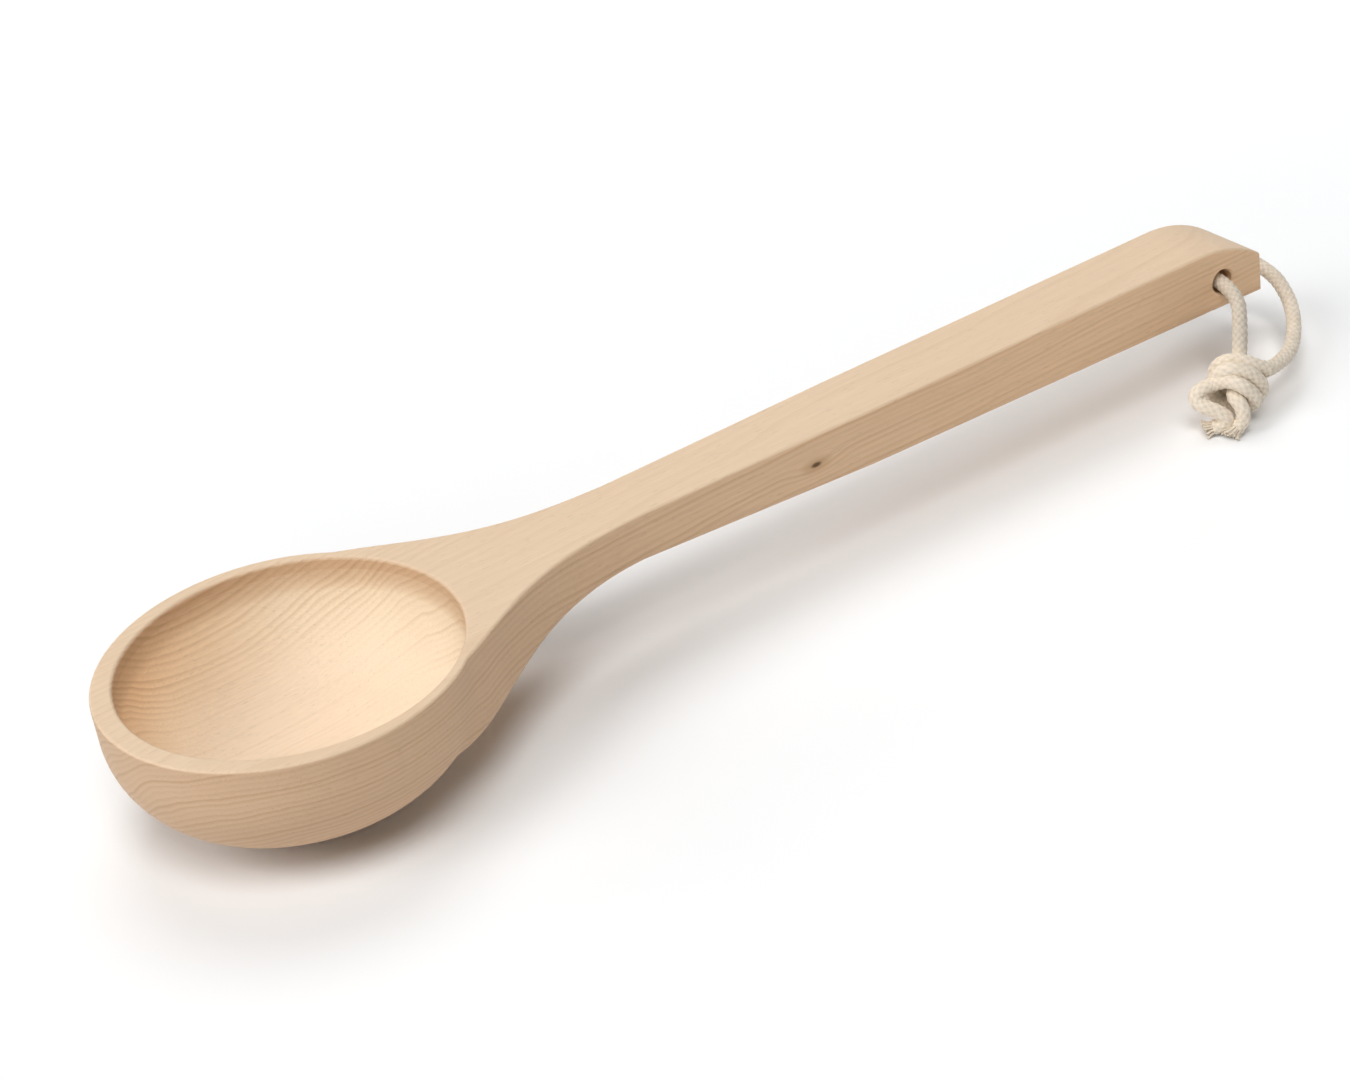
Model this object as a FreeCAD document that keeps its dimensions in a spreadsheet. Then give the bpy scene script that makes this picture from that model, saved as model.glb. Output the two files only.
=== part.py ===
"""Wooden sauna ladle: one piece of wood, a hanging cord through its handle and the knot in that cord.

Millimetres. The frame stands on the bowl's upright axis at the floor: +X along the handle, +Y to the far
side, +Z up. The top of the handle is level with the rim of the bowl.
"""
import FreeCAD, Part
import math
import os
import Sketcher

doc = FreeCAD.newDocument("sauna_ladle")
V = FreeCAD.Vector

# Driving dimensions, in millimetres
SIZES = {
    # the bowl's outside: a short upright wall over a round belly, on a flat foot
    "total_length": 400.0,
    "rim_height": 45.0,
    "bowl_radius": 52.5,
    "wall_height": 10.5,
    "belly_radius": 28.0,
    "foot_radius": 18.0,
    # the hollow, set a little nearer the handle than the outside
    "rim_width": 4.5,
    "hollow_shift": 2.0,
    "floor_thickness": 8.0,
    "lip_height": 4.0,
    # the handle's sections: distance past the bowl's wall, width and thickness
    "root_inset": 36.5,
    "root_width": 86.0,
    "root_thickness": 25.0,
    "shoulder_inset": 8.5,
    "shoulder_width": 67.0,
    "shoulder_thickness": 25.6,
    "throat_reach": 11.5,
    "throat_width": 43.0,
    "throat_thickness": 21.8,
    "arch_reach": 36.0,
    "arch_width": 26.6,
    "arch_thickness": 17.4,
    "neck_reach": 57.5,
    "neck_width": 22.4,
    "neck_thickness": 16.3,
    "middle_reach": 137.5,
    "middle_width": 25.2,
    "middle_thickness": 19.6,
    "grip_width": 26.4,
    "grip_thickness": 22.6,
    "low_edge_radius": 4.0,
    # the nose of the handle, cut to shape from the side and from above
    "nose_plan_radius": 19.0,
    "nose_top_radius": 40.0,
    "nose_low_radius": 17.5,
    "nose_tip_radius": 5.0,
    "nose_drop": 16.0,
    "nose_trim": 1.5,
    # the worked edges
    "join_radius": 12.0,
    "top_edge_radius": 1.0,
    "hollow_edge_radius": 1.0,
    # the drilled hole for the cord
    "cord_hole": 8.0,
    "hole_from_tip": 20.7,
    "hole_drop": 12.0,
    "hole_edge": 0.6,
    # the cord, and the knot that ties its two ends together on the floor beside the nose
    "cord_diameter": 5.3,
    "knot_back": 18.0,
    "knot_out": 37.5,
    "knot_height": 20.0,
    "knot_seat": 0.6,
    "cord_end": 13.0,
    "knot_lobe": 7.5,
}

sheet = doc.addObject("Spreadsheet::Sheet", "dims")
for row, (name, value) in enumerate(SIZES.items(), start=1):
    sheet.set("A%d" % row, name)
    sheet.set("B%d" % row, repr(value))
    sheet.setAlias("B%d" % row, name)
doc.recompute()

START, END, MIDDLE = range(1, 4)


def D(name):
    """A driving dimension, read from the sheet."""
    return sheet.get(name)


def new_sketch(body, role, name, shift=None, along="x"):
    sketch = body.newObject("Sketcher::SketchObject", name)
    plane = next(f for f in body.Origin.OriginFeatures if f.Role == role)
    sketch.AttachmentSupport = (plane, "")
    sketch.MapMode = "FlatFace"
    if shift:
        sketch.setExpression("AttachmentOffset.Base." + along, shift)
    return sketch


def fix(sketch, geo, end, across=None, up=None):
    """Ties one point of a sketch to the sheet, measured from the sketch's origin."""
    for kind, formula in (("DistanceX", across), ("DistanceY", up)):
        if formula is not None:
            point = sketch.getPoint(geo, end)
            now = point.x if kind == "DistanceX" else point.y
            row = sketch.addConstraint(Sketcher.Constraint(kind, -1, 1, geo, end, now))
            sketch.setExpression("Constraints[%d]" % row, formula)


def size(sketch, kind, geo, formula, now):
    row = sketch.addConstraint(Sketcher.Constraint(kind, geo, now))
    sketch.setExpression("Constraints[%d]" % row, formula)


def line(sketch, a, b):
    return sketch.addGeometry(Part.LineSegment(V(a[0], a[1], 0), V(b[0], b[1], 0)), False)


def arc(sketch, centre, radius, start, end):
    """An arc drawn counter-clockwise from one angle to the other, in degrees."""
    circle = Part.Circle(V(centre[0], centre[1], 0), V(0, 0, 1), radius)
    return sketch.addGeometry(Part.ArcOfCircle(circle, math.radians(start), math.radians(end)), False)


def outline(sketch, *corners):
    """Draws straight lines through the corners and joins each to the next."""
    lines = [line(sketch, a, b) for a, b in zip(corners, corners[1:])]
    for one, two in zip(lines, lines[1:]):
        join(sketch, one, END, two, START)
    return lines


def join(sketch, a, a_end, b, b_end, kind="Coincident"):
    sketch.addConstraint(Sketcher.Constraint(kind, a, a_end, b, b_end))


def level(sketch, *lines):
    for one in lines:
        sketch.addConstraint(Sketcher.Constraint("Horizontal", one))


def upright(sketch, *lines):
    for one in lines:
        sketch.addConstraint(Sketcher.Constraint("Vertical", one))


def faces_at(shape, edge):
    """The faces that meet at an edge, each as its surface and its outward direction halfway along."""
    halfway = edge.valueAt((edge.FirstParameter + edge.LastParameter) / 2)
    faces = [face for face in shape.Faces if any(edge.isSame(own) for own in face.Edges)]
    return [(f.Surface, f.normalAt(*f.Surface.parameter(halfway))) for f in faces]


def ease_edges(body, name, cell, one_side, other_side, kind="Fillet", by="Radius"):
    """Works every edge of the body so far that has one such face on one side and one such on the other."""
    last = body.Tip
    picked = []
    for number, edge in enumerate(last.Shape.Edges, start=1):
        faces = faces_at(last.Shape, edge)
        pairs = (faces, faces[::-1]) if len(faces) == 2 else ()
        if any(one_side(*a) and other_side(*b) for a, b in pairs):
            picked.append("Edge%d" % number)
    easing = body.newObject("PartDesign::" + kind, name)
    easing.Base = (last, picked)
    easing.setExpression(by, "dims." + cell)
    doc.recompute()
    print("%s: %d edges, %.0f mm3" % (name, len(picked), easing.Shape.Volume - last.Shape.Volume))


def is_round(surface, radius, upright_axis):
    if surface.TypeId != "Part::GeomCylinder":
        return False
    return abs(surface.Radius - radius) < 0.01 and (abs(surface.Axis.z) > 0.99) == upright_axis


# The ladle, one piece of wood with its grain along the handle
ladle = doc.addObject("PartDesign::Body", "ladle")
ladle.Label = "wooden_sauna_ladle"
top = D("rim_height")
tip = D("total_length") - D("bowl_radius")


def handle_section(name, place, width, thickness):
    """A cross-section of the handle: flat top level with the rim, upright sides, rounded lower corners."""
    sketch = new_sketch(ladle, "YZ_Plane", name + "_section", place, "z")
    w = D(width) / 2
    z = top - D(thickness)
    r = D("low_edge_radius")
    flat = line(sketch, (-w, top), (w, top))
    right = line(sketch, (w, top), (w, z + r))
    right_turn = arc(sketch, (w - r, z + r), r, -90, 0)
    under = line(sketch, (w - r, z), (r - w, z))
    left_turn = arc(sketch, (r - w, z + r), r, 180, 270)
    left = line(sketch, (-w, z + r), (-w, top))
    join(sketch, flat, END, right, START)
    join(sketch, right, END, right_turn, END, "Tangent")
    join(sketch, right_turn, START, under, START, "Tangent")
    join(sketch, under, END, left_turn, END, "Tangent")
    join(sketch, left_turn, START, left, START, "Tangent")
    join(sketch, left, END, flat, START)
    level(sketch, under)
    upright(sketch, right, left)
    sketch.addConstraint(Sketcher.Constraint("Symmetric", flat, START, flat, END, -2))
    sketch.addConstraint(Sketcher.Constraint("Equal", left_turn, right_turn))
    fix(sketch, flat, END, "dims.%s / 2" % width, "dims.rim_height")
    fix(sketch, under, START, None, "dims.rim_height - dims.%s" % thickness)
    size(sketch, "Radius", right_turn, "dims.low_edge_radius", r)
    return sketch


# The carved neck: it leaves the bowl as wide shoulders, thins to an arch and narrows to the grip
neck_sections = [
    handle_section("root", "dims.bowl_radius - dims.root_inset", "root_width", "root_thickness"),
    handle_section("shoulder", "dims.bowl_radius - dims.shoulder_inset", "shoulder_width",
                   "shoulder_thickness"),
    handle_section("throat", "dims.bowl_radius + dims.throat_reach", "throat_width", "throat_thickness"),
    handle_section("arch", "dims.bowl_radius + dims.arch_reach", "arch_width", "arch_thickness"),
    handle_section("neck", "dims.bowl_radius + dims.neck_reach", "neck_width", "neck_thickness"),
]
neck = ladle.newObject("PartDesign::AdditiveLoft", "carved_neck")
neck.Profile = neck_sections[0]
neck.Sections = neck_sections[1:]
doc.recompute()

# The straight grip: it grows a little wider and deeper towards its end, under a flat top
grip_end = "dims.total_length - dims.bowl_radius + dims.nose_trim"
grip_sections = [
    handle_section("grip_start", "dims.bowl_radius + dims.neck_reach", "neck_width", "neck_thickness"),
    handle_section("middle", "dims.bowl_radius + dims.middle_reach", "middle_width", "middle_thickness"),
    handle_section("grip_end", grip_end, "grip_width", "grip_thickness"),
]
grip = ladle.newObject("PartDesign::AdditiveLoft", "straight_grip")
grip.Profile = grip_sections[0]
grip.Sections = grip_sections[1:]
grip.Ruled = True
doc.recompute()

# The nose seen from the side: a long fall from the top, a small tip and a short rise from the underside
nose_side = new_sketch(ladle, "XZ_Plane", "nose_side_waste")
low = top - D("grip_thickness")
point_x = tip + D("nose_trim") - D("nose_tip_radius")
point_z = top - D("nose_drop")
crown_z = top - D("nose_top_radius")
chin_z = low + D("nose_low_radius")
crown_x = point_x - math.sqrt((D("nose_top_radius") - D("nose_tip_radius")) ** 2 - (point_z - crown_z) ** 2)
chin_x = point_x - math.sqrt((D("nose_low_radius") - D("nose_tip_radius")) ** 2 - (chin_z - point_z) ** 2)
crown_turn = math.degrees(math.atan2(point_z - crown_z, point_x - crown_x))
chin_turn = math.degrees(math.atan2(point_z - chin_z, point_x - chin_x))
beyond = D("total_length")
above = top + D("grip_thickness")
below = top - 2 * D("grip_thickness")
crown = arc(nose_side, (crown_x, crown_z), D("nose_top_radius"), crown_turn, 90)
point = arc(nose_side, (point_x, point_z), D("nose_tip_radius"), chin_turn, crown_turn)
chin = arc(nose_side, (chin_x, chin_z), D("nose_low_radius"), 270, 360 + chin_turn)
drop, bottom, front, over, rise = outline(
    nose_side,
    (chin_x, low), (chin_x, below), (beyond, below), (beyond, above), (crown_x, above), (crown_x, top),
)
join(nose_side, crown, START, point, END, "Tangent")
join(nose_side, point, START, chin, END, "Tangent")
join(nose_side, chin, START, drop, START)
join(nose_side, rise, END, crown, END)
level(nose_side, bottom, over)
upright(nose_side, drop, front, rise)
size(nose_side, "Radius", crown, "dims.nose_top_radius", D("nose_top_radius"))
size(nose_side, "Radius", point, "dims.nose_tip_radius", D("nose_tip_radius"))
size(nose_side, "Radius", chin, "dims.nose_low_radius", D("nose_low_radius"))
fix(nose_side, point, MIDDLE, grip_end + " - dims.nose_tip_radius", "dims.rim_height - dims.nose_drop")
fix(nose_side, crown, END, None, "dims.rim_height")
join(nose_side, crown, END, crown, MIDDLE, "Vertical")
fix(nose_side, chin, START, None, "dims.rim_height - dims.grip_thickness")
join(nose_side, chin, START, chin, MIDDLE, "Vertical")
fix(nose_side, front, START, "dims.total_length", "dims.rim_height - 2 * dims.grip_thickness")
fix(nose_side, over, START, None, "dims.rim_height + dims.grip_thickness")
nose_cut = ladle.newObject("PartDesign::Pocket", "nose_side_cut")
nose_cut.Profile = nose_side
nose_cut.Type = "ThroughAll"
nose_cut.Midplane = True
doc.recompute()
print("nose side cut takes %.0f mm3" % (grip.Shape.Volume - nose_cut.Shape.Volume))

# The nose seen from above: a shallow curve across the end
nose_plan = new_sketch(ladle, "XY_Plane", "nose_plan_waste")
half = D("grip_width") / 2 + D("nose_trim")
turn = math.degrees(math.asin(half / D("nose_plan_radius")))
curve_x = tip - D("nose_plan_radius")
side_x = curve_x + D("nose_plan_radius") * math.cos(math.radians(turn))
outer = D("grip_width")
curve = arc(nose_plan, (curve_x, 0), D("nose_plan_radius"), -turn, turn)
far_step, far_side, ahead, near_side, near_step = outline(
    nose_plan,
    (side_x, half), (side_x, outer), (beyond, outer), (beyond, -outer), (side_x, -outer), (side_x, -half),
)
join(nose_plan, curve, END, far_step, START)
join(nose_plan, near_step, END, curve, START)
level(nose_plan, far_side, near_side)
upright(nose_plan, far_step, ahead, near_step)
size(nose_plan, "Radius", curve, "dims.nose_plan_radius", D("nose_plan_radius"))
fix(nose_plan, curve, MIDDLE, "dims.total_length - dims.bowl_radius - dims.nose_plan_radius", "0")
fix(nose_plan, curve, START, None, "-(dims.grip_width / 2 + dims.nose_trim)")
fix(nose_plan, curve, END, None, "dims.grip_width / 2 + dims.nose_trim")
fix(nose_plan, ahead, START, "dims.total_length", "dims.grip_width")
fix(nose_plan, ahead, END, None, "-dims.grip_width")
nose_trim = ladle.newObject("PartDesign::Pocket", "nose_plan_cut")
nose_trim.Profile = nose_plan
nose_trim.Type = "ThroughAll"
nose_trim.Reversed = True
doc.recompute()
print("nose plan cut takes %.0f mm3" % (nose_cut.Shape.Volume - nose_trim.Shape.Volume))

# The bowl's outside: an upright wall, a round belly and a straight slope in to the flat foot, turned about
# the upright axis
turned = new_sketch(ladle, "XZ_Plane", "bowl_side_view")
foot = D("foot_radius")
belly_radius = D("belly_radius")
belly_x = D("bowl_radius") - belly_radius
belly_z = top - D("wall_height")
reach = math.hypot(foot - belly_x, belly_z)
slope_turn = math.atan2(belly_z, belly_x - foot) - math.asin(belly_radius / reach)
slope_length = math.sqrt(reach ** 2 - belly_radius ** 2)
slope_x = foot + slope_length * math.cos(slope_turn)
slope_z = slope_length * math.sin(slope_turn)
axle = line(turned, (0, top), (0, 0))
base = line(turned, (0, 0), (foot, 0))
slope = line(turned, (foot, 0), (slope_x, slope_z))
belly = arc(turned, (belly_x, belly_z), belly_radius, 270 + math.degrees(slope_turn), 360)
wall = line(turned, (D("bowl_radius"), belly_z), (D("bowl_radius"), top))
rim = line(turned, (D("bowl_radius"), top), (0, top))
join(turned, axle, END, base, START)
join(turned, base, END, slope, START)
join(turned, slope, END, belly, START, "Tangent")
join(turned, belly, END, wall, START, "Tangent")
join(turned, wall, END, rim, START)
join(turned, rim, END, axle, START)
level(turned, base, rim)
upright(turned, axle, wall)
fix(turned, axle, END, "0", "0")
fix(turned, base, END, "dims.foot_radius")
fix(turned, wall, START, None, "dims.rim_height - dims.wall_height")
fix(turned, wall, END, "dims.bowl_radius", "dims.rim_height")
size(turned, "Radius", belly, "dims.belly_radius", belly_radius)
bowl = ladle.newObject("PartDesign::Revolution", "bowl_outside")
bowl.Profile = turned
bowl.ReferenceAxis = (turned, ["V_Axis"])
bowl.Angle = 360.0
doc.recompute()

# The bowl flows into the neck: a wide hollow curve under the shoulders, up to the top on both sides
ease_edges(
    ladle, "join_of_handle_and_bowl", "join_radius",
    lambda surface, out: surface.TypeId == "Part::GeomToroid" or is_round(surface, D("bowl_radius"), True),
    lambda surface, out: surface.TypeId == "Part::GeomBSplineSurface",
)

# The edge round the flat top, on over the fall of the nose
ease_edges(
    ladle, "top_edge", "top_edge_radius",
    lambda surface, out: out.z > 0.6,
    lambda surface, out: abs(out.z) < 0.3,
)

# The hollow: upright under the rim, then a round down to a small flat floor, turned about its own axis
hollow = new_sketch(ladle, "XZ_Plane", "hollow_side_view", "dims.hollow_shift")
opening = D("bowl_radius") - D("rim_width")
deep = D("floor_thickness")
lip_foot = top - D("lip_height")
hollow_round = lip_foot - deep
flat = opening - hollow_round
mouth = 2 * top
core = line(hollow, (0, mouth), (0, deep))
floor = line(hollow, (0, deep), (flat, deep))
curve_in = arc(hollow, (flat, lip_foot), hollow_round, 270, 360)
lip = line(hollow, (opening, lip_foot), (opening, mouth))
cover = line(hollow, (opening, mouth), (0, mouth))
join(hollow, core, END, floor, START)
join(hollow, floor, END, curve_in, START, "Tangent")
join(hollow, curve_in, END, lip, START, "Tangent")
join(hollow, lip, END, cover, START)
join(hollow, cover, END, core, START)
level(hollow, floor, cover)
upright(hollow, core, lip)
fix(hollow, core, END, "0", "dims.floor_thickness")
fix(hollow, lip, END, "dims.bowl_radius - dims.rim_width", "2 * dims.rim_height")
size(hollow, "Radius", curve_in, "dims.rim_height - dims.lip_height - dims.floor_thickness", hollow_round)
before_hollow = ladle.Tip
scoop = ladle.newObject("PartDesign::Groove", "hollow")
scoop.Profile = hollow
scoop.ReferenceAxis = (hollow, ["V_Axis"])
scoop.Angle = 360.0
doc.recompute()
print("hollow takes %.0f mm3" % (before_hollow.Shape.Volume - scoop.Shape.Volume))

# The inner edge of the rim, eased so that the hand and the lip meet no sharp corner
ease_edges(
    ladle, "hollow_edge", "hollow_edge_radius",
    lambda surface, out: is_round(surface, opening, True),
    lambda surface, out: out.z > 0.9,
)

# The hole for the cord, drilled sideways through the handle near the nose
hole = V(tip - D("hole_from_tip"), 0, top - D("hole_drop"))
drill = new_sketch(ladle, "XZ_Plane", "cord_hole_circle")
bore = drill.addGeometry(Part.Circle(V(hole.x, hole.z, 0), V(0, 0, 1), D("cord_hole") / 2), False)
fix(drill, bore, MIDDLE, "dims.total_length - dims.bowl_radius - dims.hole_from_tip",
    "dims.rim_height - dims.hole_drop")
size(drill, "Diameter", bore, "dims.cord_hole", D("cord_hole"))
before_hole = ladle.Tip
drilled = ladle.newObject("PartDesign::Pocket", "cord_hole_cut")
drilled.Profile = drill
drilled.Type = "ThroughAll"
drilled.Midplane = True
doc.recompute()
print("cord hole takes %.0f mm3" % (before_hole.Shape.Volume - drilled.Shape.Volume))
ease_edges(
    ladle, "hole_edges", "hole_edge",
    lambda surface, out: is_round(surface, D("cord_hole") / 2, False),
    lambda surface, out: abs(out.y) > 0.9,
    "Chamfer", "Size",
)


def rounded_path(points):
    """A wire of straight runs joined by tangent arcs, one at each inner point."""
    edges = []
    at = points[0]
    for before, corner, after in zip(points, points[1:], points[2:]):
        to_before = (before - corner).normalize()
        to_after = (after - corner).normalize()
        half_turn = (math.pi - to_before.getAngle(to_after)) / 2
        cut = 0.45 * min(before.distanceToPoint(corner), after.distanceToPoint(corner))
        radius = cut / math.tan(half_turn)
        inward = (to_before + to_after).normalize()
        start = corner + to_before * cut
        finish = corner + to_after * cut
        nearest = corner + inward * (radius / math.cos(half_turn) - radius)
        print("cord bend radius %.1f mm, turn %.0f degrees" % (radius, math.degrees(2 * half_turn)))
        edges += [Part.LineSegment(at, start).toShape(), Part.Arc(start, nearest, finish).toShape()]
        at = finish
    edges.append(Part.LineSegment(at, points[-1]).toShape())
    return Part.Wire(edges)


# The cord: from the knot up through the hole, round the nose and down to the knot again
side = D("grip_width") / 2
knot = V(hole.x - D("knot_back"), -D("knot_out"), D("knot_height") / 2 - D("knot_seat"))
route = [
    knot + V(3.6, 3.0, 8.0),
    knot + V(9.0, 7.5, 14.5),
    hole + V(1.0, -side - 5.3, -0.1),
    hole + V(0.1, side + 5.3, 0.2),
    V(tip + 0.5, side + 8.5, hole.z - 5.0),
    V(tip + 13.0, side - 10.0, hole.z - 13.2),
    V(tip + 8.5, -side + 1.0, hole.z - 18.2),
    V(tip - 2.5, -side - 12.0, hole.z - 23.0),
    V(tip - 17.0, -side - 21.5, hole.z - 22.6),
    knot + V(9.0, -0.5, 4.0),
]
path = rounded_path(route)
ring = Part.Wire(Part.Circle(route[0], route[1] - route[0], D("cord_diameter") / 2).toShape())
cord = doc.addObject("Part::Feature", "cord")
cord.Label = "hanging_cord"
cord.Shape = path.makePipeShell([ring], True, False)
cord.Placement = FreeCAD.Placement()
expected = path.Length * math.pi * D("cord_diameter") ** 2 / 4
print("cord length %.1f mm, volume %.1f against %.1f mm3" % (path.Length, cord.Shape.Volume, expected))

# The knot: both ends tied together in one overhand knot, a closed lump with a side lobe and two ends
lump = doc.addObject("Part::Sphere", "knot_lump")
lump.setExpression("Radius", "dims.knot_height / 2")
lump.Placement.Base = knot


def cord_end(name, start, direction):
    """A short end of the cord that sticks out of the knot."""
    end = doc.addObject("Part::Cylinder", name)
    end.setExpression("Radius", "dims.cord_diameter / 2")
    end.setExpression("Height", "dims.cord_end")
    end.Placement = FreeCAD.Placement(start, FreeCAD.Rotation(V(0, 0, 1), direction))
    return end


ends = [
    cord_end("cord_end_low", knot + V(-3.0, -5.0, -6.1), V(-1.0, -0.35, 0.0)),
    cord_end("cord_end_high", knot + V(-4.0, 0.0, -4.8), V(-1.0, 0.1, -0.1)),
]
lobe = doc.addObject("Part::Ellipsoid", "knot_side_lobe")
lobe.setExpression("Radius1", "dims.cord_diameter / 2 + dims.knot_seat")
lobe.setExpression("Radius2", "dims.knot_lobe")
lobe.setExpression("Radius3", "dims.knot_lobe")
lobe.Placement.Base = V(knot.x - 3.0, knot.y + 11.5, D("cord_diameter") / 2)
bundle = doc.addObject("Part::MultiFuse", "knot_bundle")
bundle.Shapes = [lump, lobe] + ends

# The floor flattens the knot where it lies, and the two legs of the cord keep their own room in it
floor_block = doc.addObject("Part::Box", "floor_under_knot")
for edge_name in ("Length", "Width", "Height"):
    floor_block.setExpression(edge_name, "dims.knot_height * 4")
reach = D("knot_height") * 2
floor_block.Placement.Base = V(knot.x - reach, knot.y - reach, -2 * reach)
seated = doc.addObject("Part::Cut", "knot_on_floor")
seated.Base = bundle
seated.Tool = floor_block
knot_piece = doc.addObject("Part::Cut", "knot")
knot_piece.Base = seated
knot_piece.Tool = cord
knot_piece.Label = "cord_knot"
doc.recompute()

# Nothing is written unless every object and every piece is sound
pieces = (ladle, cord, knot_piece)
for thing in doc.Objects:
    if "Invalid" in thing.State or "Error" in thing.State:
        raise RuntimeError("%s failed: %s" % (thing.Name, thing.State))
for piece in pieces:
    if piece.Shape.isNull() or not piece.Shape.isValid() or len(piece.Shape.Solids) != 1:
        raise RuntimeError("%s isn't one sound solid" % piece.Label)
os.makedirs("parts", exist_ok=True)
for piece in pieces:
    piece.Shape.exportStep("parts/%s.step" % piece.Label)
    print("%s: %.0f mm3" % (piece.Label, piece.Shape.Volume))
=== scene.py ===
import math

import bpy
from mathutils import Matrix, Vector


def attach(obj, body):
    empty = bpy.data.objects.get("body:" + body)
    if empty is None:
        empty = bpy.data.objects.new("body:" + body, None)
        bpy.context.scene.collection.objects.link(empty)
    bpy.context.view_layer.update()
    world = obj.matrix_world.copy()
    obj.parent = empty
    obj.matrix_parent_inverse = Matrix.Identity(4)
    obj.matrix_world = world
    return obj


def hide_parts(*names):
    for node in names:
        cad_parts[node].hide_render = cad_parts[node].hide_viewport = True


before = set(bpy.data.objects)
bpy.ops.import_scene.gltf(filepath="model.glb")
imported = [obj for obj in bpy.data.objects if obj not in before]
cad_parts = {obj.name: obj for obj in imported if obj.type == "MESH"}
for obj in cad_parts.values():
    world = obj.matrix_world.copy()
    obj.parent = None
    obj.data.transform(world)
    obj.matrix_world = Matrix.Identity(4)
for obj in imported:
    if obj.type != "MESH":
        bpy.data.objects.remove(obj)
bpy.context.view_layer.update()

# The tabletop and the light
# A plain white paper floor under three soft boxes, one at the left and two overhead,
# so the near side of the handle and the bowl's right side fall into half shade.
MM = 0.001
picture_scene = bpy.context.scene
picture_scene.view_settings.view_transform = "Standard"

camera_place = Vector((-240.04, -647.14, 472.72)) * MM
looking = Vector((0.42075, 0.74569, -0.51664))
camera_roll = math.radians(9.07)
level_right = looking.cross(Vector((0, 0, 1))).normalized()
level_up = level_right.cross(looking)
tilted_up = level_up * math.cos(camera_roll) + level_right * math.sin(camera_roll)
tilted_right = level_right * math.cos(camera_roll) - level_up * math.sin(camera_roll)

lens = bpy.data.cameras.new("ladle_camera")
lens.lens = 80
lens.sensor_width = 36
lens.clip_start = 0.01
camera = bpy.data.objects.new("ladle_camera", lens)
turn = Matrix((tilted_right, tilted_up, -looking)).transposed().to_4x4()
camera.matrix_world = Matrix.Translation(camera_place) @ turn
picture_scene.collection.objects.link(camera)
picture_scene.camera = camera


def node(material, kind, inputs=(), **settings):
    """Adds one shader node, sets its settings, and plugs in or sets its inputs."""
    made = material.node_tree.nodes.new("ShaderNode" + kind)
    for name, value in settings.items():
        setattr(made, name, value)
    for socket, value in dict(inputs).items():
        if isinstance(value, bpy.types.NodeSocket):
            material.node_tree.links.new(value, made.inputs[socket])
        else:
            made.inputs[socket].default_value = value
    return made


def ramp(material, value, between, gives=(0.0, 1.0), curve="LINEAR"):
    """Carries a value from one span over to another, and stays at its ends beyond."""
    return node(
        material, "MapRange",
        {"Value": value, "From Min": between[0], "From Max": between[1],
         "To Min": gives[0], "To Max": gives[1]},
        interpolation_type=curve).outputs[0]


def product(material, one, two):
    """One value times another."""
    return node(material, "Math", {0: one, 1: two}, operation="MULTIPLY").outputs[0]


def shown_to_camera(material):
    """1 for what the camera sees, straight or as a reflection, and 0 for the rest."""
    ray = node(material, "LightPath")
    return node(
        material, "Math",
        {0: ray.outputs["Is Camera Ray"], 1: ray.outputs["Is Glossy Ray"]},
        operation="MAXIMUM").outputs[0]


def empty_material(name):
    """A new material with no nodes in it."""
    material = bpy.data.materials.new(name)
    material.use_nodes = True
    material.node_tree.nodes.clear()
    return material


# Painted light: a glow that only the camera sees makes the paper look whiter the farther
# it lies from the ladle, where a step along the ladle counts for less than one across it,
# and lifts the shadows a little more under the handle than beside the bowl.
PAPER_COLOUR = (0.93, 0.93, 0.93, 1)
LIFT_COLOUR = (0.90, 0.965, 1, 1)
LIFT_AT_BOWL, LIFT_AT_HANDLE, LIFT_FAR_OFF = 0.03, 0.08, 0.36
ALONG_SHARE = 0.45
LADLE_MIDDLE_X = 0.1556
FLOOR_HALF = 4.0

floor_paper = empty_material("floor_paper")
paper_place = node(floor_paper, "TexCoord").outputs["Object"]
paper_x = node(floor_paper, "SeparateXYZ", {0: paper_place}).outputs[0]
from_ladle = node(
    floor_paper, "VectorMath",
    {0: paper_place, 1: (ALONG_SHARE, 1, 0), 2: (-ALONG_SHARE * LADLE_MIDDLE_X, 0, 0)},
    operation="MULTIPLY_ADD").outputs[0]
how_far = node(
    floor_paper, "VectorMath", {0: from_ladle}, operation="LENGTH").outputs["Value"]
lift_nearby = ramp(
    floor_paper, paper_x, between=(0.07, 0.17), gives=(LIFT_AT_BOWL, LIFT_AT_HANDLE))
lift_there = ramp(
    floor_paper, how_far, between=(0.09, 0.45), gives=(lift_nearby, LIFT_FAR_OFF))
# Painted light: the paper's glow, which only the camera sees, lifting it and its shadows.
lift = product(floor_paper, shown_to_camera(floor_paper), lift_there)
paper_light = node(floor_paper, "BsdfDiffuse", {"Color": PAPER_COLOUR})
painted_paper_glow = node(floor_paper, "Emission", {"Color": LIFT_COLOUR, "Strength": lift})
paper = node(
    floor_paper, "AddShader", {0: paper_light.outputs[0], 1: painted_paper_glow.outputs[0]})
node(floor_paper, "OutputMaterial", {"Surface": paper.outputs[0]})

floor_mesh = bpy.data.meshes.new("floor")
floor_mesh.from_pydata(
    [(x * FLOOR_HALF, y * FLOOR_HALF, 0) for x, y in ((-1, -1), (1, -1), (1, 1), (-1, 1))],
    [], [(0, 1, 2, 3)])
floor_mesh.materials.append(floor_paper)
floor = bpy.data.objects.new("floor", floor_mesh)
picture_scene.collection.objects.link(floor)

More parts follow.
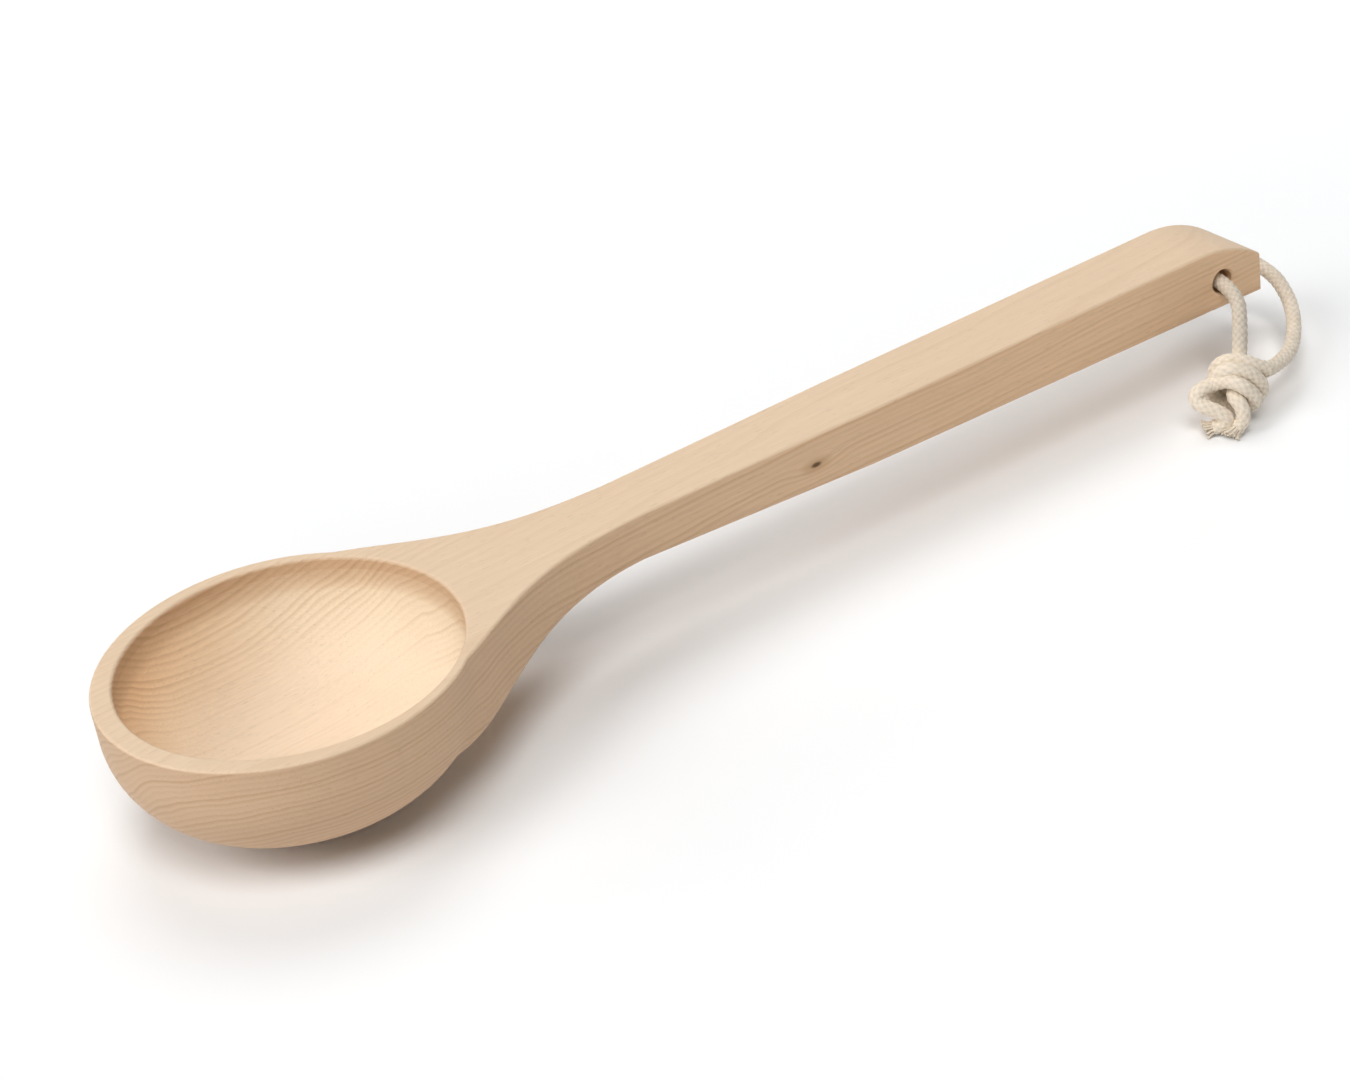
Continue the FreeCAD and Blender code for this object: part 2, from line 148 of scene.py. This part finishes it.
ROOM_COLOUR = (0.90, 0.96, 1, 1)
ROOM_LIGHT, ROOM_SHOWN = 0.06, 1.1
room = bpy.data.worlds.new("soft_room")
room.use_nodes = True
room.node_tree.nodes.clear()
room_strength = ramp(
    room, shown_to_camera(room), between=(0, 1), gives=(ROOM_LIGHT, ROOM_SHOWN))
room_light = node(room, "Background", {"Color": ROOM_COLOUR, "Strength": room_strength})
node(room, "OutputWorld", {"Surface": room_light.outputs[0]})
picture_scene.world = room

LAMP_DISTANCE = 4.4
LADLE_CENTRE = Vector((0.14, 0, 0.02))


def soft_box(name, towards, width, level):
    """A round soft box aimed at the middle of the ladle; level is how bright it
    makes a white sheet that faces it."""
    place = LADLE_CENTRE + Vector(towards).normalized() * LAMP_DISTANCE
    light = bpy.data.lights.new(name, "AREA")
    light.shape = "DISK"
    light.size = width
    light.energy = level * math.pi ** 2 * LAMP_DISTANCE ** 2
    box = bpy.data.objects.new(name, light)
    box.matrix_world = (
        Matrix.Translation(place)
        @ (place - LADLE_CENTRE).to_track_quat("Z", "Y").to_matrix().to_4x4())
    picture_scene.collection.objects.link(box)


soft_box("window_light", (-0.786, 0.061, 0.616), width=2.6, level=0.41)
soft_box("far_soft_box", (0.231, 0.409, 0.883), width=2.7, level=0.32)
soft_box("near_soft_box", (-0.231, -0.409, 0.883), width=2.5, level=0.54)

# The hanging cord
# A soft braided cotton cord, threaded through the hole in the handle's end, brought
# back round the nose and tied in a knot that lies on the floor.
CORD_DIAMETER = 5.3 * MM
cord_route = [
    (312.4, -34.5, 17.4),
    (317.8, -30.0, 23.9),
    (327.8, -18.5, 32.9),
    (326.9, 18.5, 33.2),
    (348.0, 21.7, 28.0),
    (360.5, 3.2, 19.8),
    (356.0, -12.2, 14.8),
    (345.0, -25.2, 10.0),
    (330.5, -34.7, 10.4),
    (317.8, -38.0, 13.4),
]


def smooth_line(name, route, fineness):
    """The smooth line that a cord laid along these points takes."""
    curve = bpy.data.curves.new(name, "CURVE")
    curve.dimensions = "3D"
    curve.resolution_u = fineness
    spline = curve.splines.new("NURBS")
    spline.points.add(len(route) - 1)
    for point, place in zip(spline.points, route):
        point.co = (*(Vector(place) * MM), 1)
    spline.order_u = 3
    spline.use_endpoint_u = True
    holder = bpy.data.objects.new(name, curve)
    line = bpy.data.meshes.new_from_object(holder)
    places = [v.co.copy() for v in line.vertices]
    bpy.data.objects.remove(holder)
    bpy.data.curves.remove(curve)
    bpy.data.meshes.remove(line)
    return places


def even_steps(line, step):
    """The same line, walked in even steps."""
    lengths = [(b - a).length for a, b in zip(line, line[1:])]
    total = sum(lengths)
    count = max(2, round(total / step))
    out, piece, walked = [line[0].copy()], 0, 0.0
    for i in range(1, count):
        want = total * i / count
        while walked + lengths[piece] < want:
            walked += lengths[piece]
            piece += 1
        part = (want - walked) / lengths[piece]
        out.append(line[piece].lerp(line[piece + 1], part))
    return out + [line[-1].copy()]


def frames_along(line):
    """A right-angled pair of directions across the line at each of its points,
    carried along without twist."""
    ahead = [(line[min(i + 1, len(line) - 1)] - line[max(i - 1, 0)]).normalized()
             for i in range(len(line))]
    side = ahead[0].orthogonal().normalized()
    frames = []
    for way in ahead:
        side = (side - way * side.dot(way)).normalized()
        frames.append((side.copy(), way.cross(side)))
    return frames


BRAID_STRANDS = 6
BRAID_PITCH = 15 * MM
BRAID_GROOVE = 0.5 * MM
UNDER_HEIGHT = 0.45
YARN_HEIGHT = 0.7


def braid_height(turn_share, along):
    """How far a round braid stands out, from 0 to 1: two families of strands wind
    opposite ways, and a strand is UNDER_HEIGHT high where it passes under another."""
    one = BRAID_STRANDS * (turn_share + along / BRAID_PITCH)
    two = BRAID_STRANDS * (turn_share - along / BRAID_PITCH)
    one_i, two_i = math.floor(one), math.floor(two)
    across_one = math.sqrt(max(0, 1 - (2 * (one - one_i) - 1) ** 2))
    across_two = math.sqrt(max(0, 1 - (2 * (two - two_i) - 1) ** 2))
    over_one = 0.5 + 0.5 * math.cos(math.pi * (two - 0.5 + one_i))
    over_two = 0.5 - 0.5 * math.cos(math.pi * (one - 0.5 + two_i))
    return max(across_one * (UNDER_HEIGHT + (1 - UNDER_HEIGHT) * over_one),
               across_two * (UNDER_HEIGHT + (1 - UNDER_HEIGHT) * over_two))


def braided_tube(name, runs, step):
    """A mesh of braided cord along each run; a run is its line, its radius, how
    deep the braid's grooves are, and the number of corners round it. A run with
    no grooves is a plain yarn."""
    verts, faces, heights = [], [], []
    for line, radius, groove, corners in runs:
        line = even_steps(line, step)
        first = len(verts)
        for i, (place, (side, up)) in enumerate(zip(line, frames_along(line))):
            for j in range(corners):
                stand = braid_height(j / corners, i * step)
                reach = radius - groove * (1 - stand)
                angle = 2 * math.pi * j / corners
                verts.append(place + side * (reach * math.cos(angle))
                             + up * (reach * math.sin(angle)))
                heights.append(stand if groove else YARN_HEIGHT)
        for i in range(len(line) - 1):
            for j in range(corners):
                a = first + i * corners + j
                b = first + i * corners + (j + 1) % corners
                faces.append((a, b, b + corners, a + corners))
        last = first + (len(line) - 1) * corners
        faces.append(tuple(range(first + corners - 1, first - 1, -1)))
        faces.append(tuple(range(last, last + corners)))
    mesh = bpy.data.meshes.new(name)
    mesh.from_pydata(verts, [], faces)
    mesh.polygons.foreach_set("use_smooth", [True] * len(mesh.polygons))
    mesh.attributes.new("braid_height", "FLOAT", "POINT").data.foreach_set(
        "value", heights)
    mesh.update()
    made = bpy.data.objects.new(name, mesh)
    picture_scene.collection.objects.link(made)
    return made


def place_in_mm(material):
    """Where a point of the surface lies in the part's frame, in millimetres."""
    place = node(material, "TexCoord").outputs["Object"]
    return node(
        material, "VectorMath", {0: place, 1: (1 / MM, 1 / MM, 1 / MM)},
        operation="MULTIPLY").outputs[0]


def blend(material, share, one, two):
    """A colour between two others; share 0 gives the first and 1 the second."""
    return node(material, "MixRGB", {0: share, 1: one, 2: two}).outputs[0]


def times_tone(material, colour, tone):
    """A colour made lighter or darker by a tone, or tinted by another colour."""
    return node(
        material, "VectorMath", {0: colour, 1: tone}, operation="MULTIPLY").outputs[0]


# Undyed cotton in two close shades, with painted shade in the braid's grooves and for a
# short stretch where the cord comes out of the handle's hole.
COTTON_DEEP = (0.84, 0.72, 0.565, 1)
COTTON_PALE = (0.95, 0.845, 0.71, 1)
OUT_OF_HOLE = (322, -27, 28)

cotton = empty_material("cotton_cord")
cotton_mm = place_in_mm(cotton)
cotton_patch = node(
    cotton, "TexNoise", {"Vector": cotton_mm, "Scale": 0.16, "Detail": 2}).outputs[0]
cotton_fibre = node(
    cotton, "TexNoise",
    {"Vector": cotton_mm, "Scale": 2.6, "Detail": 3, "Roughness": 0.65}).outputs[0]
cotton_braid = node(cotton, "Attribute", attribute_name="braid_height").outputs["Fac"]
from_hole = node(
    cotton, "VectorMath", {0: cotton_mm, 1: OUT_OF_HOLE},
    operation="DISTANCE").outputs["Value"]
fleck_tone = ramp(cotton, cotton_fibre, between=(0.3, 0.7), gives=(0.86, 1.08))
# Painted shade: the cotton is darker where the braid dips into its grooves.
painted_groove_shade = ramp(cotton, cotton_braid, between=(0.35, 1.0), gives=(0.83, 1.05))
# Painted shade: the cotton is darker for a short stretch where the cord comes out of the
# hole.
painted_hole_shade = ramp(
    cotton, from_hole, between=(8, 17), gives=(0.75, 1.0), curve="SMOOTHSTEP")
cotton_tone_and_shade = product(cotton, product(cotton, fleck_tone, painted_groove_shade), painted_hole_shade)
cotton_shade = blend(cotton, cotton_patch, COTTON_DEEP, COTTON_PALE)
cotton_bump = node(
    cotton, "Bump", {"Height": cotton_fibre, "Distance": 0.2 * MM, "Strength": 0.6})
cotton_shader = node(
    cotton, "BsdfPrincipled",
    {"Base Color": times_tone(cotton, cotton_shade, cotton_tone_and_shade), "Roughness": 0.95,
     "Specular IOR Level": 0.15, "Sheen Weight": 0.25, "Sheen Roughness": 0.5,
     "Normal": cotton_bump.outputs[0]})
node(cotton, "OutputMaterial", {"Surface": cotton_shader.outputs[0]})

CORD_OVER_STRANDS = 0.46 * CORD_DIAMETER
CORD_STEP = 0.3 * MM
CORD_CORNERS = 64
cord_line = smooth_line("cord_line", cord_route, fineness=24)
cord = braided_tube(
    "braided_cord", [(cord_line, CORD_OVER_STRANDS, BRAID_GROOVE, CORD_CORNERS)],
    CORD_STEP)
cord.data.materials.append(cotton)
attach(cord, "root")
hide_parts("hanging_cord")

# The knot
# The cord's two ends tied together: one runs down, the other winds round it twice
# and is pulled tight, and both are cut short below, where their yarns fray.
KNOT_CORD_RADIUS = 2.4 * MM
KNOT_STEP = 0.35 * MM
KNOT_CORNERS = 48
down_strand = [
    (313.5, -34.1, 20.1), (312.6, -34.7, 14.7), (309.4, -36.2, 11.7),
    (304.4, -40.1, 11.7), (304.5, -43.5, 9.8), (304.5, -44.6, 6.3),
    (303.6, -44.1, 3.6), (301.5, -44.1, 2.7),
]
round_strand = [
    (319.5, -39.8, 14.8), (315.0, -39.4, 17.5), (311.1, -36.6, 20.3),
    (308.1, -32.7, 19.7), (306.9, -29.3, 15.8), (308.1, -28.6, 10.1),
    (312.4, -31.7, 5.1), (315.0, -37.1, 5.4), (315.7, -41.3, 9.5),
    (313.6, -42.4, 14.0), (309.5, -40.9, 18.6), (305.5, -38.1, 20.3),
    (303.5, -34.4, 17.3), (303.5, -30.5, 11.3), (305.3, -31.3, 5.8),
    (309.3, -35.0, 3.8), (311.7, -42.4, 6.7), (309.7, -43.8, 11.6),
    (305.5, -42.3, 16.3), (304.0, -37.8, 16.6), (302.0, -34.1, 14.6),
    (298.4, -33.5, 14.5), (295.6, -32.9, 13.0), (295.1, -34.1, 10.9),
    (296.5, -37.1, 9.7), (299.0, -39.6, 8.1), (301.3, -41.4, 5.4),
    (299.7, -40.4, 3.6), (297.7, -38.4, 2.9),
]

# A yarn's bend gives how far ahead of the cut it is, as a share of its length, and
# how far out from the cord's middle, in millimetres.
YARN_COUNT = 22
YARN_RADIUS = 0.36 * MM
YARN_CORNERS = 6
LONGEST_YARN = 3.6
SHORTEST_SHARE = 0.65
YARN_BEND = ((-0.7, 1.7), (0.3, 1.9), (0.7, 2.6), (1.0, 3.4))
NEXT_YARN_TURN = 2.4
LENGTH_CHANGE = 5.1
ABOVE_FLOOR = 0.4


def frayed_yarns(tip, heading):
    """Thin yarns that spread from a cord's cut end; each is a run for the tube."""
    side = heading.orthogonal().normalized()
    up = heading.cross(side)
    yarns = []
    for i in range(YARN_COUNT):
        turn_round = NEXT_YARN_TURN * i
        out = side * math.cos(turn_round) + up * math.sin(turn_round)
        spread = math.sqrt((i + 0.5) / YARN_COUNT)
        longer = math.sin(LENGTH_CHANGE * i) ** 2
        length = LONGEST_YARN * (SHORTEST_SHARE + (1 - SHORTEST_SHARE) * longer)
        route = []
        for ahead, outward in YARN_BEND:
            place = tip / MM + heading * (ahead * length) + out * (outward * spread)
            route.append((place.x, place.y, max(place.z, ABOVE_FLOOR)))
        yarns.append((smooth_line("yarn", route, fineness=4), YARN_RADIUS, 0, YARN_CORNERS))
    return yarns


strand_lines = [smooth_line("down_line", down_strand, fineness=16),
                smooth_line("round_line", round_strand, fineness=12)]
knot_runs = [(line, KNOT_CORD_RADIUS, BRAID_GROOVE, KNOT_CORNERS) for line in strand_lines]
for line in strand_lines:
    knot_runs += frayed_yarns(line[-1], (line[-1] - line[-6]).normalized())
knot = braided_tube("tied_knot", knot_runs, KNOT_STEP)
knot.data.materials.append(cotton)
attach(knot, "root")
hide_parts("cord_knot")

# The ladle
# One piece of pale close-grained wood, bowl and handle, cut lengthwise from the
# log, shaped and sanded smooth and left bare; a pin knot shows on the near side.
# The places and the ring gap are in millimetres of the part's frame.
RING_GAP = 1.8
PITH_Y, PITH_Z = -60.0, -60.0
GRAIN_DRIFT = -0.093
PIN_KNOT_X, PIN_KNOT_Z = 168.7, 35.5
PIN_KNOT_SQUEEZE = 0.45
HOLLOW_X = 2.0
HOLLOW_EDGE = (47.3, 48.3)

wood = empty_material("bare_wood")
wood_mm = place_in_mm(wood)
wood_xyz = node(wood, "SeparateXYZ", {0: wood_mm})
x_along, y_across, z_up = (wood_xyz.outputs[axis] for axis in range(3))
wood_normal = node(wood, "TexCoord").outputs["Normal"]
facing_up = node(wood, "SeparateXYZ", {0: wood_normal}).outputs[2]


def wood_sum(*terms, plus=0.0):
    """Adds up values, each given with its factor, and one plain number."""
    total = plus
    for value, factor in terms:
        total = node(
            wood, "Math", {0: value, 1: factor, 2: total},
            operation="MULTIPLY_ADD").outputs[0]
    return total


def wood_distance(one, two):
    """How long a step is that goes this far in two directions at right angles."""
    apart = node(wood, "CombineXYZ", {0: one, 1: two}).outputs[0]
    return node(wood, "VectorMath", {0: apart}, operation="LENGTH").outputs["Value"]


def wood_noise(along, across, detail=2.0, rough=0.5):
    """Noise drawn out along the wood, given by its fineness along and across it."""
    drawn_out = node(
        wood, "VectorMath", {0: wood_mm, 1: (along, across, across)},
        operation="MULTIPLY").outputs[0]
    return node(
        wood, "TexNoise",
        {"Vector": drawn_out, "Scale": 1.0, "Detail": detail,
         "Roughness": rough}).outputs[0]


# Year rings round a pith that runs below the blank on its near side, wavy, and bent
# aside round the pin knot; each ring darkens slowly to its late wood, then starts anew.
from_pith = wood_distance(
    wood_sum((y_across, 1.0), (x_along, GRAIN_DRIFT), plus=-PITH_Y),
    wood_sum((z_up, 1.0), plus=-PITH_Z))
from_pin_knot = wood_distance(
    wood_sum((x_along, PIN_KNOT_SQUEEZE), plus=-PIN_KNOT_SQUEEZE * PIN_KNOT_X),
    wood_sum((z_up, 1.0), plus=-PIN_KNOT_Z))
slow_wave = wood_noise(along=0.008, across=0.035, detail=1.0)
small_wave = wood_noise(along=0.022, across=0.09)
round_knot = ramp(
    wood, from_pin_knot, between=(0.0, 7.0), gives=(1.0, 0.0), curve="SMOOTHERSTEP")
ring_count = wood_sum(
    (from_pith, 1 / RING_GAP), (slow_wave, 5.0), (small_wave, 1.3), (round_knot, 1.1))
ring_share = node(wood, "Math", {0: ring_count}, operation="FRACT").outputs[0]
ring_number = node(wood, "Math", {0: ring_count}, operation="FLOOR").outputs[0]
late_wood = product(
    wood,
    ramp(wood, ring_share, between=(0.15, 0.78), curve="SMOOTHSTEP"),
    ramp(wood, ring_share, between=(0.78, 1.0), gives=(1.0, 0.0), curve="SMOOTHSTEP"))
ring_strength = node(
    wood, "TexWhiteNoise", {"W": ring_number}, noise_dimensions="1D").outputs[0]
ring_mask = product(wood, late_wood, wood_sum((ring_strength, 0.75), plus=0.25))

# Where on the ladle a point is: in the hollow, on its steep wall or on the handle's
# side of it, on a side of the ladle, and how far along the handle.
from_axle = wood_distance(wood_sum((x_along, 1.0), plus=-HOLLOW_X), y_across)
in_hollow = product(
    wood,
    ramp(wood, from_axle, between=HOLLOW_EDGE, gives=(1.0, 0.0)),
    ramp(wood, facing_up, between=(-0.02, 0.03)))
hollow_steep = ramp(wood, facing_up, between=(0.35, 0.9), gives=(1.0, 0.0))
handle_end = ramp(wood, x_along, between=(-30.0, 20.0))
on_side = ramp(
    wood, facing_up, between=(0.25, 0.75), gives=(1.0, 0.0), curve="SMOOTHSTEP")
along_handle = ramp(wood, x_along, between=(-20.0, 260.0))
near_side = ramp(wood, y_across, between=(-9.0, -7.0), gives=(1.0, 0.0))

# Two close shades of bare wood with the rings over them; the rings show most where
# the wood stands steep and least on the flat top. Fine fibres and short flecks run
# along the wood.
WOOD_DEEP = (0.755, 0.555, 0.375, 1)
WOOD_PALE = (0.80, 0.61, 0.43, 1)
LATE_WOOD = (0.60, 0.40, 0.235, 1)

fibre = wood_noise(along=0.06, across=2.2, detail=3.0, rough=0.6)
broad_tone = wood_noise(along=0.012, across=0.05)
fleck = ramp(wood, wood_noise(along=0.3, across=1.9, detail=1.0), between=(0.64, 0.74))
rings_shown = wood_sum(
    (on_side, 0.46), (product(wood, on_side, along_handle), -0.18),
    (in_hollow, 0.08), (product(wood, in_hollow, handle_end), -0.14), plus=0.20)
plain_wood = blend(wood, broad_tone, WOOD_DEEP, WOOD_PALE)
ringed_wood = blend(
    wood, product(wood, ring_mask, rings_shown), plain_wood, LATE_WOOD)
fine_tone = product(
    wood, ramp(wood, fibre, between=(0.3, 0.7), gives=(0.95, 1.04)),
    wood_sum((fleck, -0.10), plus=1.0))
grained_wood = times_tone(wood, ringed_wood, fine_tone)

# Painted shade on the sides, browner at the bowl and warmer towards the nose; painted light
# in the turned hollow, which is paler, most of all on its steep wall.
NO_TINT = (1, 1, 1, 1)
SIDE_SHADE_AT_BOWL = (0.85, 0.775, 0.715, 1)
SIDE_SHADE_AT_NOSE = (1.05, 0.96, 0.86, 1)
HOLLOW_BOTTOM_LIGHT = (1.03, 1.10, 1.18, 1)
FAR_WALL_LIGHT = (1.28, 1.24, 1.18, 1)
HANDLE_WALL_LIGHT = (1.21, 1.37, 1.51, 1)

# Painted shade: the sides are darkened and browned by this tint, most at the bowl.
painted_side_shade = blend(
    wood, on_side, NO_TINT, blend(wood, along_handle, SIDE_SHADE_AT_BOWL, SIDE_SHADE_AT_NOSE))
# Painted light: the hollow is lightened, its steep walls most.
painted_wall_light = blend(wood, handle_end, FAR_WALL_LIGHT, HANDLE_WALL_LIGHT)
painted_hollow_light = blend(wood, hollow_steep, HOLLOW_BOTTOM_LIGHT, painted_wall_light)
wood_with_painted_light = times_tone(
    wood, grained_wood, blend(wood, in_hollow, painted_side_shade, painted_hollow_light))

# The pin knot: a dark core in a brown halo, on the handle's near side only.
KNOT_HALO = (0.46, 0.26, 0.11, 1)
KNOT_CORE = (0.085, 0.036, 0.013, 1)

halo = ramp(wood, from_pin_knot, between=(0.6, 3.0), gives=(0.6, 0.0))
core = ramp(wood, from_pin_knot, between=(0.45, 1.0), gives=(0.92, 0.0))
haloed_wood = blend(wood, product(wood, halo, near_side), wood_with_painted_light, KNOT_HALO)
wood_colour = blend(wood, product(wood, core, near_side), haloed_wood, KNOT_CORE)

wood_height = wood_sum((fibre, 1.0), (ring_mask, 0.5), (fleck, -0.6))
wood_bump = node(
    wood, "Bump", {"Height": wood_height, "Distance": 0.04 * MM, "Strength": 0.7})
wood_rough = ramp(wood, fibre, between=(0.3, 0.7), gives=(0.50, 0.62))
wood_shader = node(
    wood, "BsdfPrincipled",
    {"Base Color": wood_colour, "Roughness": wood_rough,
     "Specular IOR Level": 0.3, "Normal": wood_bump.outputs[0]})
node(wood, "OutputMaterial", {"Surface": wood_shader.outputs[0]})

ladle = bpy.data.objects["wooden_sauna_ladle"]
for place in ladle.material_slots:
    place.material = wood
